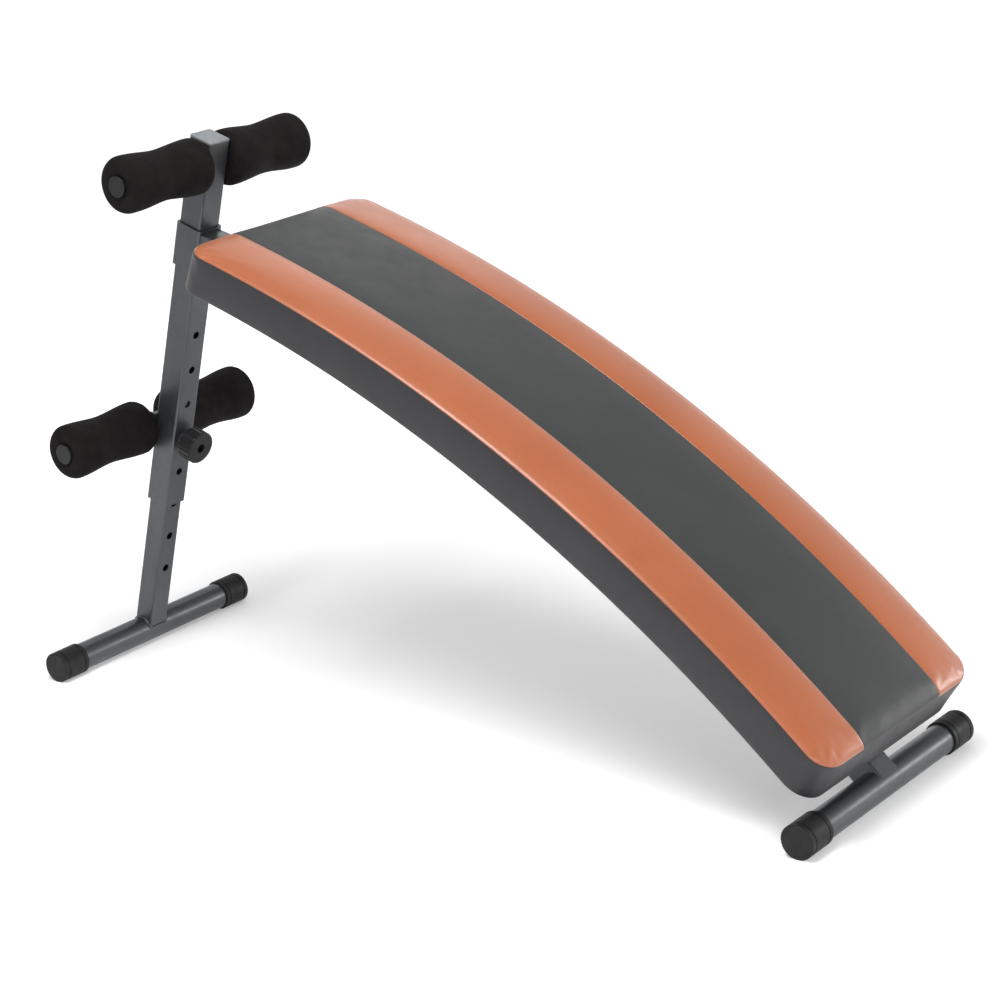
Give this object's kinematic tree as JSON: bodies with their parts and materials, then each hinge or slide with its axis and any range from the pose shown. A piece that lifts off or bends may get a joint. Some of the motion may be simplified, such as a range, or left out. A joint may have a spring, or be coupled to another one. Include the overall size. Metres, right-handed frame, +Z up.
{
  "type": "decline sit-up bench",
  "caption": "Curved padded sit-up bench on a steel beam, with a telescoping high-end leg locked by a knob and foam rollers on two cross bars.",
  "frame": {"origin": "on the floor, midway along the bench's length and width", "axes": "+X from the high, roller end to the low end along the board; +Y to the left of a person who looks along +X; +Z up"},
  "size_m": [1.2862, 0.37, 0.7579],
  "materials": {
    "silver_paint": "satin",
    "zinc_steel": "satin",
    "black_rubber": "matte",
    "black_plastic": "matte",
    "grey_plastic": "satin",
    "white_plastic": "matte",
    "black_foam": "matte",
    "pad_foam": "matte",
    "copper_vinyl": "satin",
    "charcoal_vinyl": "satin",
    "bent_plywood": "matte",
    "underside_fabric": "matte"
  },
  "bodies": {
    "frame": {"upright_tube": "silver_paint", "upright_top_plug": "grey_plastic", "leg_guide_bush": "white_plastic", "beam_collar": "silver_paint", "collar_screws": "zinc_steel", "collar_nuts": "zinc_steel", "lower_bar_bracket": "silver_paint", "lock_boss": "silver_paint", "main_beam": "silver_paint", "low_foot_tube": "silver_paint", "upper_roller_bar": "silver_paint", "lower_roller_bar": "silver_paint", "board_base": "bent_plywood", "board_foam": "pad_foam", "centre_cover_panel": "charcoal_vinyl", "left_cover_panel": "copper_vinyl", "right_cover_panel": "copper_vinyl", "side_band": "charcoal_vinyl", "underside_cover": "underside_fabric", "board_screws": "zinc_steel", "board_washers": "zinc_steel", "tee_nuts": "zinc_steel", "high_board_angles": "silver_paint", "middle_board_angles": "silver_paint", "low_board_angles": "silver_paint", "low_foot_left_cap": "black_rubber", "low_foot_right_cap": "black_rubber", "upper_left_bar_plug": "black_plastic", "upper_right_bar_plug": "black_plastic", "lower_left_bar_plug": "black_plastic", "lower_right_bar_plug": "black_plastic"},
    "leg": {"leg_tube": "silver_paint", "leg_top_guide": "white_plastic", "high_foot_tube": "silver_paint", "high_foot_left_cap": "black_rubber", "high_foot_right_cap": "black_rubber"},
    "lock_stud": {"lock_screw": "zinc_steel"},
    "knob": {"lock_knob": "black_plastic"},
    "upper_left_roller": {"upper_left_foam_roller": "black_foam"},
    "upper_right_roller": {"upper_right_foam_roller": "black_foam"},
    "lower_left_roller": {"lower_left_foam_roller": "black_foam"},
    "lower_right_roller": {"lower_right_foam_roller": "black_foam"}
  },
  "joints": [
    {"name": "leg_slide", "type": "slide", "parent": "frame", "child": "leg", "axis": [0.3272, 0, 0.9449], "range_m": [0, 0.162]},
    {"name": "lock_feed", "type": "slide", "parent": "frame", "child": "lock_stud", "axis": [0.9449, 0, -0.3272], "range_m": [-0.00602, 0]},
    {"name": "knob_turn", "type": "hinge", "parent": "lock_stud", "child": "knob", "pos_m": [-0.48661, 0, 0.31791], "axis": [0.9449, 0, -0.3272], "range_deg": [-1440, 0]},
    {"name": "upper_left_roller_spin", "type": "hinge", "parent": "frame", "child": "upper_left_roller", "pos_m": [-0.37609, 0.095, 0.71744], "axis": [0, 1, 0], "continuous": true},
    {"name": "upper_right_roller_spin", "type": "hinge", "parent": "frame", "child": "upper_right_roller", "pos_m": [-0.37609, -0.095, 0.71744], "axis": [0, 1, 0], "continuous": true},
    {"name": "lower_left_roller_spin", "type": "hinge", "parent": "frame", "child": "lower_left_roller", "pos_m": [-0.55009, 0.095, 0.3418], "axis": [0, 1, 0], "continuous": true},
    {"name": "lower_right_roller_spin", "type": "hinge", "parent": "frame", "child": "lower_right_roller", "pos_m": [-0.55009, -0.095, 0.3418], "axis": [0, 1, 0], "continuous": true}
  ],
  "couplings": [
    {"joint": "lock_feed", "follows": "knob_turn", "m_per_rad": 0.00023873}
  ]
}
